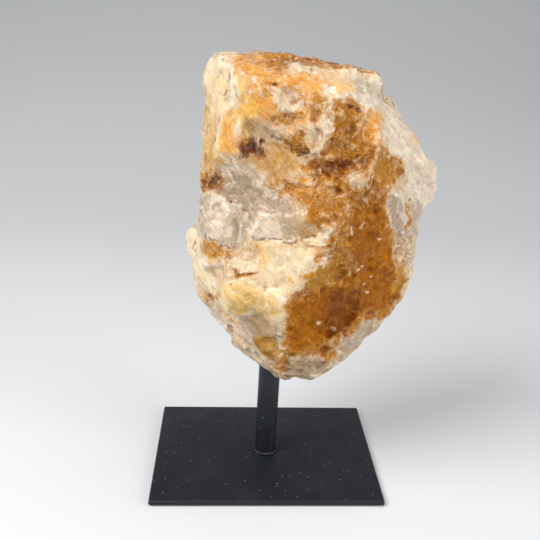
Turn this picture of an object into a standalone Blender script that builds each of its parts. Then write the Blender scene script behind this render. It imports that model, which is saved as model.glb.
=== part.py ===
"""Golden healer quartz: a rough chunk of iron-stained quartz fixed on a black steel stand.

The stone is one closed solid. It starts as a few overlapping convex masses, each a cube broken along flat
faces, which are merged into one skin. The skin is then broken again into chips of three sizes, more where
the break is rough and hardly at all on the smooth cleavage faces. The post goes up into a blind bore in its
underside, and the post stands on a flat plate.

The origin is the centre of the plate's underside, +Z is up and -Y is the front. Sizes are in millimetres
until new_object turns them into metres.
"""
import math

import bmesh
import bpy
import numpy as np
from mathutils import Matrix, Vector

MM = 0.001

# Driving dimensions of the stand
PLATE_WIDTH = 125.0
PLATE_DEPTH = 100.0
PLATE_THICKNESS = 3.0
PLATE_CORNER_RADIUS = 1.2
PLATE_EDGE_ROUND = 0.5
POST_DIAMETER = 12.0
POST_FOOT_X = 0.4
POST_LEAN = math.radians(1.3)
POST_TOP_Z = 88.0
POST_TOP_CHAMFER = 0.6
WELD_DIAMETER = 15.0
WELD_HEIGHT = 1.8
WELD_SKIRT = 0.5
GAP = 0.3
ROUND_SIDES = 40

# Driving dimensions of the stone's skin
SKIN_STEP = 1.4
STONE_TRIANGLES = 8300
BIG_CHIP = 24.0
MIDDLE_CHIP = 12.0
SMALL_CHIP = 6.0
BIG_CHIP_RISE = 3.6
MIDDLE_CHIP_RISE = 1.5
SMALL_CHIP_RISE = 0.6
BREAK_EVERYWHERE = 0.8
BREAK_REACH = 0.12

# Each broken face: a point on it (x, y, z), then the way it looks, as degrees turned from the front towards
# the right and degrees tilted up.
FACETS = {
    # the crown
    "top": (-8, -3, 225.5, 0, 88),
    "top_right": (8, 0, 225.5, 88, 81),
    "top_left_corner": (-29, -8, 225, -75, 50),
    "shoulder": (-12, -23, 224, -18, 70),
    "left_face": (-31, -16, 196, -72, 5),
    "cheek": (-20, -32, 210, -51, 11),
    "brow": (7, -43, 203, 4, 8),
    "upper_right": (27, -32, 216, 21, 40),
    "right_shoulder": (43, -19, 214, 56, 28),
    "right_crown": (57, 5, 206, 88, 38),
    # the overhang of the brow, and the yellow knob at its left
    "brow_under_left": (5, -42, 191, -50, -53),
    "brow_under_right": (22, -44, 194, 59, -17),
    "knob": (-23, -34, 190, -44, -1),
    "knob_under": (-24, -31, 182, -20, -55),
    "knob_side": (-15, -33, 190, 40, -5),
    # the recess below the brow
    "recess_left": (3, -39, 179, -10, 10),
    "recess_right": (37, -34, 196, 24, 8),
    "step_under": (35, -38, 183, 20, -50),
    "step_left": (22, -40, 180, -60, -10),
    "orange_up": (42, -34, 169, 27, 12),
    # the grey translucent faces at the left
    "grey_overhang": (-24, -20, 160, -37, -20),
    "grey_slope": (-22, -22, 158, -26, 26),
    "slab_front": (5, -42, 149, -14, -8),
    "slab_top": (5, -42, 157, -25, 58),
    "slab_left": (-11, -37, 148, -75, 10),
    # the lower mass
    "bulge_ledge": (3, -43, 144, -75, 72),
    "bulge": (6, -49, 134, -14, 7),
    "gold": (23, -48, 127, 19, -8),
    "orange": (47, -30, 125, 33, -9),
    "orange_low": (17, -41, 98, 10, -19),
    "pane": (-2, -38, 94, -29, -24),
    "left_bulge": (-32, -22, 124, -60, -4),
    "far_left_top": (-44, 5, 136, -90, 50),
    "far_left": (-41, -3, 123, -74, -3),
    "low_left": (-20, -18, 92, -57, -32),
    # the right side and its glassy nose
    "right_flank": (62, -20, 170, 56, 8),
    "right_side": (74, 0, 115, 88, -5),
    "low_right": (55, 4, 83, 82, -38),
    "nose_top": (87, 6, 168, 88, 36),
    "nose_front": (78, -4, 176, 50, 15),
    "nose_low": (72, -8, 155, 43, -3),
    "nose_side": (89, 8, 164, 92, -6),
    "nose_low_side": (82, 5, 150, 88, -22),
    "nose_back": (80, 28, 165, 150, 5),
    "nose_under": (70, 4, 118, 70, -60),
    "nose_root": (59, 0, 165, -90, 0),
    # the underside
    "underside": (14, -12, 57, 190, -84),
    "under_front": (14, -34, 77, 4, -40),
    "under_right": (34, -3, 63, 58, -64),
    "under_left": (-10, -9, 69, -60, -48),
    # the back
    "left_back": (-37, 0, 180, -104, 2),
    "back_left": (-30, 28, 160, -138, 4),
    "back_high": (12, 36, 196, 172, 20),
    "back_crown": (25, 24, 216, 150, 52),
    "back_right": (58, 30, 175, 128, 12),
    "back": (14, 45, 148, 176, -4),
    "back_low": (20, 38, 98, 168, -28),
    "back_low_left": (-28, 24, 100, -128, -26),
    "back_low_right": (56, 24, 96, 122, -24),
    "far_left_back": (-44, 12, 125, -112, 6),
}
# The faces that bound the whole stone but its nose
HULL = ["top", "top_right", "top_left_corner", "shoulder", "left_face", "cheek", "brow", "upper_right",
        "right_shoulder", "right_crown", "gold", "orange", "orange_low", "pane", "low_left", "far_left",
        "right_flank", "right_side", "low_right", "underside", "under_front", "under_right", "under_left",
        "back_left", "back_high", "back_crown", "back_right", "back", "back_low", "back_low_left",
        "back_low_right"]
MASSES = {
    "upper": HULL + ["left_back", "recess_left", "orange_up", "grey_overhang"],
    "step": HULL + ["left_back", "recess_left", "recess_right", "step_under", "step_left"],
    "brow": HULL + ["left_back", "brow_under_left", "brow_under_right"],
    "knob": HULL + ["left_back", "knob", "knob_under", "knob_side"],
    "grey_block": HULL + ["left_back", "grey_slope", "slab_front", "left_bulge", "recess_left"],
    "slab": HULL + ["slab_front", "slab_top", "slab_left", "orange_up"],
    "lower": HULL + ["grey_slope", "bulge_ledge", "bulge", "orange_up", "left_bulge", "far_left_top",
                     "far_left_back"],
    "nose": ["nose_top", "nose_front", "nose_low", "nose_side", "nose_low_side", "nose_back", "nose_under", "nose_root",
             "top_right", "right_shoulder", "back_right", "back_low_right"],
}
MASS_CUBE = 600.0

# Lumps, and pits where the height is negative: x, y, z, radius, height
LUMPS = {
    "white_lump": (37, -43, 174, 9, 3.5),
    "blister": (-17, -40, 114, 15, 3.5),
    "lip": (-14, -43, 129, 9, 3.5),
    "brown_pocket": (-27, -31, 134, 8, -2.0),
    "dark_hollow": (-12, -34, 187, 6, -3.5),
    "upper_right_corner": (49, -5, 217, 8, 3.5),
    "upper_right_notch": (58, 3, 209, 7, -2.0),
    "lower_right_notch": (56, -20, 82, 8, -3.0),
}
LUMP_FLANK = 1.3

# How roughly the stone broke: x, y, z, radius, share of the full chips
BREAKS = {
    "cheek": (-20, -32, 208, 18, 0.1),
    "shoulder": (-5, -30, 223, 20, 0.2),
    "left_face": (-35, -12, 195, 22, 0.25),
    "grey_faces": (-24, -24, 160, 22, 0.3),
    "grey_slab": (5, -41, 150, 12, 0.3),
    "right_flank": (68, -12, 165, 30, 0.45),
    "blister": (-17, -42, 114, 12, 0.4),
    "brow": (10, -45, 198, 18, 0.9),
    "recess": (28, -40, 182, 22, 0.9),
    "orange_face": (50, -32, 140, 30, 0.7),
    "bottom_rim": (15, -32, 75, 22, 1.0),
    "left_bulge": (-28, -28, 126, 16, 0.6),
}


def paint(name, colour, roughness, metallic):
    finish = bpy.data.materials.new(name)
    finish.use_nodes = True
    shader = finish.node_tree.nodes["Principled BSDF"]
    shader.inputs["Base Color"].default_value = (*colour, 1.0)
    shader.inputs["Roughness"].default_value = roughness
    shader.inputs["Metallic"].default_value = metallic
    finish.diffuse_color = (*colour, 1.0)
    return finish


def new_object(name, form, finish):
    """Turns a bmesh in millimetres into a scene object in metres."""
    bmesh.ops.scale(form, vec=(MM, MM, MM), verts=form.verts)
    bmesh.ops.recalc_face_normals(form, faces=form.faces)
    mesh = bpy.data.meshes.new(name)
    form.to_mesh(mesh)
    form.free()
    mesh.materials.append(finish)
    made = bpy.data.objects.new(name, mesh)
    bpy.context.scene.collection.objects.link(made)
    return made


def shade_round(made):
    made.data.shade_smooth()
    made.data.set_sharp_from_angle(angle=math.radians(40))


# ---------------------------------------------------------------- the stone


def towards(turn, tilt):
    """The way a face looks, from its turn and tilt in degrees."""
    turn = math.radians(turn)
    tilt = math.radians(tilt)
    return Vector((math.sin(turn) * math.cos(tilt), -math.cos(turn) * math.cos(tilt), math.sin(tilt)))


def add_mass(form, faces):
    """Adds a convex mass to the form: a cube broken along each named face."""
    cube = bmesh.new()
    bmesh.ops.create_cube(cube, size=MASS_CUBE)
    for face in faces:
        x, y, z, turn, tilt = FACETS[face]
        everything = cube.verts[:] + cube.edges[:] + cube.faces[:]
        bmesh.ops.bisect_plane(cube, geom=everything, dist=0.001, plane_co=(x, y, z),
                               plane_no=towards(turn, tilt), clear_outer=True)
        bmesh.ops.holes_fill(cube, edges=[edge for edge in cube.edges if edge.is_boundary])
    bmesh.ops.recalc_face_normals(cube, faces=cube.faces)
    broken = bpy.data.meshes.new("broken_cube")
    cube.to_mesh(broken)
    cube.free()
    form.from_mesh(broken)
    bpy.data.meshes.remove(broken)


def merged_skin():
    """All the masses merged into one closed skin, as a mesh in metres."""
    form = bmesh.new()
    for faces in MASSES.values():
        add_mass(form, faces)
    masses = new_object("masses", form, paint("rock", (0.6, 0.6, 0.6), 0.5, 0.0))
    merge = masses.modifiers.new("merge", "REMESH")
    merge.mode = "VOXEL"
    merge.voxel_size = SKIN_STEP * MM
    merged = masses.evaluated_get(bpy.context.evaluated_depsgraph_get())
    skin = bpy.data.meshes.new_from_object(merged)
    bpy.data.objects.remove(masses)
    skin.materials.clear()
    return skin


def scatter(cells, seed):
    """Three repeatable numbers from 0 to 1 for each whole-numbered cell."""
    state = (cells[:, 0] * 73856093) ^ (cells[:, 1] * 19349663) ^ (cells[:, 2] * 83492791)
    state = state ^ (seed * 2654435761)
    numbers = []
    for _ in range(3):
        state = (state ^ (state >> 15)) * 2246822519 % 4294967296
        state = (state ^ (state >> 13)) * 3266489917 % 4294967296
        numbers.append((state % 65536) / 65536.0)
    return np.stack(numbers, axis=1)


def chips(points, size, seed):
    """Heights of a break into chips of about this size, each a flat with a random tilt of its own."""
    home = np.floor(points / size).astype(np.int64)
    nearest = np.full(len(points), np.inf)
    height = np.zeros(len(points))
    for step in np.ndindex(3, 3, 3):
        cells = home + np.array(step) - 1
        away = points - (cells + scatter(cells, seed)) * size
        distance = (away ** 2).sum(axis=1)
        tilt = scatter(cells, seed + 1) * 2.0 - 1.0
        closer = distance < nearest
        height = np.where(closer, (away * tilt).sum(axis=1) / size, height)
        nearest = np.where(closer, distance, nearest)
    return height


def break_share(points):
    """How much of the full chips each point gets, from the nearest named areas."""
    total = np.full(len(points), BREAK_REACH * BREAK_EVERYWHERE)
    weight = np.full(len(points), BREAK_REACH)
    for x, y, z, radius, share in BREAKS.values():
        near = np.exp(-((points - np.array([x, y, z])) ** 2).sum(axis=1) / radius ** 2)
        total += near * share
        weight += near
    return total / weight


def lumps(points):
    height = np.zeros(len(points))
    for x, y, z, radius, rise in LUMPS.values():
        away = np.linalg.norm(points - np.array([x, y, z]), axis=1) / radius
        height += rise * np.clip(LUMP_FLANK * (1.0 - away), 0.0, 1.0)
    return height


def break_skin(skin):
    """Moves the skin out and in along its normals, by the chips and the lumps."""
    points = np.empty(len(skin.vertices) * 3)
    skin.vertices.foreach_get("co", points)
    points = points.reshape(-1, 3) / MM
    normals = np.empty(len(skin.vertices) * 3)
    skin.vertices.foreach_get("normal", normals)
    normals = normals.reshape(-1, 3)
    height = BIG_CHIP_RISE * chips(points, BIG_CHIP, 3)
    height += MIDDLE_CHIP_RISE * chips(points, MIDDLE_CHIP, 11)
    height += SMALL_CHIP_RISE * chips(points, SMALL_CHIP, 19)
    height = height * break_share(points) + lumps(points)
    points = (points + normals * height[:, None]) * MM
    skin.vertices.foreach_set("co", points.ravel())
    skin.update()


def post_place(z):
    """The centre of the leaning post at height z."""
    return Vector((POST_FOOT_X + (z - PLATE_THICKNESS) * math.tan(POST_LEAN), 0.0, z))


def post_frame(z):
    """Places a form made upright at the origin on the post's axis at height z."""
    return Matrix.Translation(post_place(z)) @ Matrix.Rotation(POST_LEAN, 4, "Y")


def bore_cutter():
    """The cylinder that cuts the stone's blind bore, a gap wider and deeper than the post."""
    length = POST_TOP_Z
    form = bmesh.new()
    bmesh.ops.create_cone(form, cap_ends=True, segments=ROUND_SIDES, radius1=POST_DIAMETER / 2 + GAP,
                          radius2=POST_DIAMETER / 2 + GAP, depth=length)
    bmesh.ops.translate(form, vec=(0, 0, -length / 2), verts=form.verts)
    bmesh.ops.transform(form, matrix=post_frame(POST_TOP_Z + GAP), verts=form.verts)
    cutter = new_object("bore_cutter", form, paint("cutter", (0.6, 0.2, 0.2), 0.5, 0.0))
    cutter.hide_render = True
    cutter.display_type = "WIRE"
    return cutter


def quartz():
    skin = merged_skin()
    break_skin(skin)
    skin.materials.append(paint("golden_quartz", (0.70, 0.42, 0.19), 0.42, 0.0))
    stone = bpy.data.objects.new("quartz", skin)
    bpy.context.scene.collection.objects.link(stone)
    flats = stone.modifiers.new("flats", "DECIMATE")
    flats.ratio = STONE_TRIANGLES / (2 * len(skin.polygons))
    bore = stone.modifiers.new("bore", "BOOLEAN")
    bore.operation = "DIFFERENCE"
    bore.object = bore_cutter()


# ---------------------------------------------------------------- the stand


def weld_profile():
    """The weld bead's hollow side, from its outer edge up to the post."""
    radius = POST_DIAMETER / 2
    spread = WELD_DIAMETER / 2 - radius
    steps = 6
    profile = []
    for step in range(steps + 1):
        angle = math.radians(90.0) * step / steps
        out = radius + spread * (1.0 - math.sin(angle))
        up = WELD_SKIRT + WELD_HEIGHT * (1.0 - math.cos(angle))
        profile.append((out, up))
    return profile


def post():
    """The round post with the weld bead round its foot, turned upright, leant, and cut level at the foot."""
    radius = POST_DIAMETER / 2
    length = POST_TOP_Z - PLATE_THICKNESS
    below = -WELD_DIAMETER / 2
    profile = [(0.0, below), (WELD_DIAMETER / 2, below)] + weld_profile()
    profile += [(radius, length - POST_TOP_CHAMFER), (radius - POST_TOP_CHAMFER, length), (0.0, length)]
    form = bmesh.new()
    chain = [form.verts.new((out, 0.0, up)) for out, up in profile]
    links = [form.edges.new(pair) for pair in zip(chain, chain[1:])]
    bmesh.ops.spin(form, geom=chain + links, cent=(0, 0, 0), axis=(0, 0, 1), angle=math.tau,
                   steps=ROUND_SIDES, use_merge=True)
    bmesh.ops.remove_doubles(form, verts=form.verts, dist=0.001)
    bmesh.ops.transform(form, matrix=post_frame(PLATE_THICKNESS), verts=form.verts)
    everything = form.verts[:] + form.edges[:] + form.faces[:]
    bmesh.ops.bisect_plane(form, geom=everything, dist=0.001, plane_co=(0, 0, PLATE_THICKNESS + GAP),
                           plane_no=(0, 0, 1), clear_inner=True)
    bmesh.ops.holes_fill(form, edges=[edge for edge in form.edges if edge.is_boundary])
    shade_round(new_object("post", form, paint("post_paint", (0.016, 0.017, 0.020), 0.42, 0.0)))


def base_plate():
    form = bmesh.new()
    bmesh.ops.create_cube(form, size=1.0)
    bmesh.ops.scale(form, vec=(PLATE_WIDTH, PLATE_DEPTH, PLATE_THICKNESS), verts=form.verts)
    bmesh.ops.translate(form, vec=(0, 0, PLATE_THICKNESS / 2), verts=form.verts)
    corners = [edge for edge in form.edges if edge.verts[0].co.z != edge.verts[1].co.z]
    bmesh.ops.bevel(form, geom=corners, offset=PLATE_CORNER_RADIUS, segments=3, profile=0.5, affect="EDGES")
    rims = [edge for edge in form.edges
            if edge.verts[0].co.z == edge.verts[1].co.z and edge.calc_face_angle() > math.radians(45)]
    bmesh.ops.bevel(form, geom=rims, offset=PLATE_EDGE_ROUND, segments=2, profile=0.5, affect="EDGES")
    shade_round(new_object("base_plate", form, paint("plate_paint", (0.022, 0.023, 0.027), 0.48, 0.0)))


for old in list(bpy.data.objects):
    bpy.data.objects.remove(old)
quartz()
post()
base_plate()
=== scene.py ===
"""Golden healer quartz on a black metal stand: the finish of every surface.

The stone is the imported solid, refined and broken into finer chips, with its stains in one material. The
plate and the post are modelled again with their real edges, weld bead and paint. Everything is in metres in
the part's own frame; sizes written in millimetres are turned into metres by MM.
"""

import math

import bpy
import numpy as np
from mathutils import Matrix, Vector


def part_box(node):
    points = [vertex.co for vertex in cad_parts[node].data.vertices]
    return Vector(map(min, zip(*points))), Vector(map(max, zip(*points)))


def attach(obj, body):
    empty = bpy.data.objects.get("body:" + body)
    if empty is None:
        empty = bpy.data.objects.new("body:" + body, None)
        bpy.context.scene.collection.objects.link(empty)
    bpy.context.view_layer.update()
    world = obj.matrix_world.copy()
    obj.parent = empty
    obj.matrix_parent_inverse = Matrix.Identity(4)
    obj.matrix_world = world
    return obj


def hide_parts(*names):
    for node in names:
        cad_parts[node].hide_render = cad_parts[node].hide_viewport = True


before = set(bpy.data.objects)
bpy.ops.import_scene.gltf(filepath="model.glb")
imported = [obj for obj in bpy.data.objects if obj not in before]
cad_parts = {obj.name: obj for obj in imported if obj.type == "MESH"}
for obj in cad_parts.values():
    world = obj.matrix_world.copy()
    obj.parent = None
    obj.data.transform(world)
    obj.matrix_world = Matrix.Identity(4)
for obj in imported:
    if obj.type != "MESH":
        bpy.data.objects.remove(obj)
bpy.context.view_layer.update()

MM = 0.001

# The viewer's eye, and how the camera looks from it
EYE = Vector((-21.7, -391.0, 252.0)) * MM
LOOK_TURN = math.radians(3.15)
LOOK_DOWN = math.radians(19.35)
LOOK_ROLL = math.radians(1.99)
VIEW_PIXELS = 540
FOCAL_PIXELS = 770.0
SENSOR_WIDTH = 36.0

# Skin of the stone, in millimetres
SKIN_STEP = 1.0
SOFTENING = 0.5
SOFTENING_ROUNDS = 1
# Each break into chips: their size, their rise, the share of it on smooth places too, and its seed
CHIPS = ((18.0, 6.0, 0.3, 12), (9.0, 4.0, 0.4, 25), (4.5, 2.6, 0.15, 31), (2.6, 1.7, 0.0, 37))
SCOOP = 0.9
SCOOP_MEAN = -0.02
OUTWARD = 1.3
INWARD = 2.0
CLEAN_BREAKS = dict(frost=1.0, grey=1.0, peach=0.7, cream=0.6, yellow=0.5, ochre=-1.0, white=-1.0)
EVEN_LEVELS = 10
EVEN_ROUNDS = 8
CREASE_ANGLE = math.radians(32)
# How crumbly the skin is, and how much more or less so under each stain
PLAIN_ROUGH = 0.3
LEAST_ROUGH = 0.06
CRUMBLY = dict(ochre=0.6, white=0.2, amber=-0.5, olive=-0.5, grey=-0.2, frost=-0.25, cream=-0.25, yellow=-0.1)
PULLS = {  # x, y, z, radius, then how far in x, y and z
    "nose": (83, 1, 165, 22, 4.0, 0, 0.5),
    "crown_left": (-34, -2, 225, 12, 2.5, 0, -1),
    "shoulder_right": (64, -1, 200, 14, -2.2, 0, -1.2),
    "left_foot": (-45, 6, 108, 14, 3.5, 0, 1.5),
    "left_side": (-45, 8, 128, 12, -1.5, 0, 0),
    "foot_front": (26, -23, 65, 12, 0, -0.5, -2.5),
    "hollow": (-14, -31, 186, 10, 0, -3, 0.5),
    "hollow_top": (-18, -36, 195, 9, 0, -2.5, 0.5),
}
POST_CLEARANCE = 9.0
BORE_TOP_Z = 92.0
CRACK_DEPTH = 0.5
CRUMB_SIZE = 3.0
CRUMB_RISE = 1.6
HOLLOW_DEPTH = 0.5
RIDGE_SPREADING = 1
RIDGE_GAIN = 6.0

# How the stone cleaves: the turn of its grain, and how drawn out the grain is along it
CLEAVAGE_TURN = math.radians(38)
CLEAVAGE_SHARES = (0.5, 0.8, 1.1)

# Stand, in millimetres
POST_RADIUS = 6.0
POST_LEAN = math.radians(1.3)
POST_SIDES = 96
POST_FOOT_X = 0.4
WELD_RING = 6.2
WELD_THICK = 1.05
WELD_UP = 0.35
WELD_SIDES = 192
WELD_ROUNDS = 14
WELD_RIPPLES = ((0.1, 34.0, 0.0), (0.12, 5.0, 1.0))  # each one's depth, how many go round, and its start
PLATE_CORNER = 1.2
PLATE_EDGE = 0.5

# Paper sweep of the studio, in metres
SWEEP_WIDTH = 8.0
SWEEP_FRONT = -1.5
SWEEP_BACK = 0.45
SWEEP_RADIUS = 1.3
SWEEP_HEIGHT = 1.0
SWEEP_STEPS = 24
PAPER_GAP = 0.3

# Marks on the stone as seen from the eye, drawn on the upright plane through the post, y = 0, in millimetres.
# Each area has its share of cover, the width of its ragged edge, then how far across and how high the corners
# of its outline are. Two stains share each of the named outlines.
PINK_LUMP = (-21, 121, -13, 122, -7, 118, -7, 113, -14, 114, -20, 115)
PANE_TOP = (-13, 83, -8, 90, -3, 91, 1, 83, 9, 75, -3, 73)
LEFT_WAIST = (-37, 178, -27, 178, -24, 174, -31, 169, -38, 165)
POCKET = (-36, 132, -31, 130, -26, 127, -19, 125, -22, 122, -30, 120, -36, 122, -38, 126)
AREAS = {}
AREAS["frost"] = dict(
    nose=(1, 2.5, 66, 187, 82, 182, 91, 164, 84, 133, 71, 135, 71, 155, 69, 171),
    flank_facet=(1, 1.5, 59, 157, 70, 160, 73, 155, 71, 136, 65, 137, 60, 143),
    flank=(0.9, 4, 54, 209, 62, 204, 70, 189, 72, 168, 67, 173, 60, 181, 55, 191),
    crown=(0.9, 3, 36, 219, 54, 219, 56, 204, 52, 200, 45, 203, 38, 208, 31, 207, 24, 213),
    slope_left=(0.8, 3, -41, 155, -32, 157, -22, 150, -17, 148, -11, 145, -13, 139, -13, 131, -19, 126,
        -26, 127, -36, 132, -42, 138),
    slab=(1, 1.5, -12, 139, -6, 145, 4, 145, 5, 132, -5, 131, -12, 132),
    bulge=(0.35, 4, -4, 128, 15, 129, 20, 126, 14, 115, 10, 104, 0, 103, -7, 112),
    far_left=(0.9, 3, -46, 141, -39, 140, -35, 125, -30, 103, -34, 97, -44, 115),
    pink_lump=(0.6, 2, *PINK_LUMP),
    rim_left=(0.6, 3, -33, 97, -25, 87, -16, 79, -15, 72, -26, 77, -33, 88),
)
AREAS["grey"] = dict(
    slope_left=(0.75, 4, -41, 155, -32, 156, -22, 150, -11, 145, -11, 138, -13, 131, -19, 126, -26, 127,
        -36, 132, -42, 138),
    crown_right=(0.6, 4, 20, 217, 37, 217, 53, 218, 54, 211, 38, 209, 25, 207),
    slab=(0.35, 3, -12, 139, -6, 145, 5, 145, 5, 132, -5, 131, -12, 132),
    bulge=(0.45, 4, -21, 121, -4, 129, 15, 129, 24, 132, 19, 120, 11, 106, -4, 105, -16, 114),
    slope_foot=(0.9, 3, -27, 154, -19, 150, -11, 146, -8, 139, -13, 133, -13, 127, -22, 126, -29, 131,
        -26, 137, -19, 141, -22, 148),
    slab_right=(0.85, 2, 5, 144, 24, 143, 25, 133, 15, 132, 5, 132),
    slope=(1, 1.5, -34, 170, -24, 174, -16, 171, -9, 167, -2, 161, 3, 156, 10, 153, 14, 147, 5, 145, -4, 145,
        -12, 147, -18, 149, -23, 152, -29, 157, -32, 160),
    recess=(0.55, 4, -12, 178, -6, 184, 4, 185, 9, 178, 13, 173, 9, 166, -4, 162, -17, 174),
    nose_low=(0.9, 3, 71, 154, 80, 154, 79, 135, 71, 135),
    flank_low=(0.95, 3, 61, 157, 68, 156, 70, 137, 63, 139),
    right_chips=(1, 2.5, 65, 136, 77, 138, 76, 118, 68, 118),
    lower_pane=(0.85, 1.5, -16, 84, -8, 90, -3, 91, 1, 83, 9, 75, 10, 59, 3, 60, -6, 65, -10, 73),
    rim_right=(1, 2.5, 47, 79, 52, 86, 61, 89, 59, 77, 50, 67, 43, 68),
    rim=(0.6, 3, 13, 62, 21, 60, 35, 64, 41, 68, 42, 76, 47, 78, 51, 85, 52, 89, 64, 91, 63, 80, 48, 60,
        30, 46, 10, 46, 10, 54),
)
AREAS["cream"] = dict(
    round_lump=(0.8, 3, -28, 106, -21, 110, -11, 109, -4, 104, -2, 94, -12, 85, -23, 87, -30, 97),
    crown_face=(0.4, 3, 24, 217, 36, 216, 38, 210, 32, 206, 25, 208),
    left_corner=(0.8, 3, -37, 225, -26, 228, -22, 224, -25, 218, -35, 215),
    bright_cheek=(1, 1.2, -24, 220, -19, 217, -16, 214, -17, 209, -19, 205, -22, 200, -25, 197, -26, 201,
        -24, 207, -25, 213),
    pale_cheek=(1, 3, -35, 216, -25, 218, -25, 206, -25, 198, -29, 195, -35, 195),
    block_edge=(0.95, 1.5, -28, 195, -26, 195, -27, 189, -26, 186, -26, 180, -29, 180, -31, 183, -30, 189),
    slope_left=(0.45, 4, -36, 148, -26, 151, -21, 147, -22, 140, -30, 137, -37, 140),
    slab_left=(0.3, 2, -10, 140, -6, 144, 0, 144, -1, 134, -6, 134, -10, 135),
    bulge=(0.55, 4, -5, 129, 15, 129, 24, 132, 19, 120, 13, 107, 0, 102, -11, 109, -5, 119),
    crest=(1, 2, 22, 133, 26, 132, 20, 120, 14, 107, 10, 100, 9, 107, 15, 118),
    pink_lump=(0.6, 2, *PINK_LUMP),
    right_crown=(0.5, 3, 27, 219, 53, 220, 55, 214, 50, 214, 36, 216, 28, 216),
    low_white=(0.8, 3, -4, 103, 11, 106, 8, 90, 2, 84, -4, 92),
    far_left=(0.7, 3, -47, 141, -39, 139, -34, 119, -29, 99, -34, 97, -45, 118),
)
AREAS["yellow"] = dict(
    pale_cheek=(0.4, 4, -35, 216, -25, 218, -25, 206, -26, 198, -29, 195, -35, 195),
    cheek_strip=(0.9, 1, -20, 217, -16, 216, -14, 210, -13, 205, -16, 202, -19, 205, -18, 210),
    cheek_low=(0.9, 3, -23, 198, -18, 202, -13, 204, -8, 203, -7, 198, -11, 194, -21, 192, -25, 195),
    knob_side=(0.7, 3, -21, 193, -16, 195, -11, 194, -9, 189, -12, 184, -16, 183),
    left_side=(0.75, 4, -37, 206, -32, 208, -31, 194, -30, 179, -32, 169, -37, 165, -37, 189),
    knob=(1, 1.5, -26, 195, -22, 194, -20, 190, -16, 185, -17, 180, -20, 177, -26, 179, -27, 184, -27, 190),
    crown_right=(0.5, 2, 35, 214, 39, 213, 39, 210, 35, 210),
    bulge_streak=(0.8, 2.5, -8, 131, -4, 129, -1, 121, -3, 115, -8, 113, -5, 121),
    round_lump=(0.7, 3.5, -27, 105, -22, 109, -13, 108, -7, 103, -6, 95, -14, 86, -22, 89, -28, 97),
    pane_top=(0.3, 3, *PANE_TOP),
    low_streaks=(0.6, 3, -7, 103, 4, 101, 8, 90, -1, 85, -8, 92),
    left_streak=(0.7, 2, -34, 121, -30, 121, -29, 114, -33, 113),
    brow_right=(0.45, 4, 10, 199, 30, 200, 30, 186, 22, 179, 13, 186),
    recess=(0.35, 4, -11, 179, 8, 184, 14, 170, -2, 162),
    left_waist=(0.6, 3, *LEFT_WAIST),
    far_left_edge=(0.5, 3, -45, 121, -40, 122, -33, 103, -30, 92, -36, 94),
)
AREAS["peach"] = dict(
    knob=(0.9, 2.5, -26, 194, -22, 193, -20, 190, -17, 185, -18, 181, -21, 178, -25, 179, -27, 184, -26, 190),
    brow_top=(1, 1.5, -23, 222, -18, 226, -8, 228, 3, 224, 3, 220, 10, 218, 18, 217, 22, 213, 21, 210,
        12, 209, 1, 210, -7, 211, -11, 207, -13, 212, -15, 216, -20, 218),
    brow_middle=(0.75, 4, -13, 208, -2, 211, 12, 210, 22, 210, 27, 200, 22, 191, 8, 190, -7, 193, -12, 202),
    crown_left=(0.25, 3, -35, 224, -23, 227, -8, 229, -18, 222, -27, 221),
    crown_right=(0.55, 4, 20, 218, 37, 218, 37, 208, 25, 207),
    column=(1, 2, 46, 202, 52, 200, 55, 190, 54, 183, 48, 184, 46, 192),
    recess_facet=(0.7, 1.5, 12, 163, 17, 167, 21, 161, 20, 155, 13, 154, 10, 158),
    recess_ochre=(0.7, 3, -3, 162, 8, 164, 13, 160, 15, 152, 9, 154, 3, 158),
    wedge=(0.55, 3, 22, 136, 34, 138, 32, 123, 26, 116, 21, 120),
    slab_tone=(0.15, 4, 6, 145, 24, 145, 27, 133, 10, 131),
)
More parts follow.
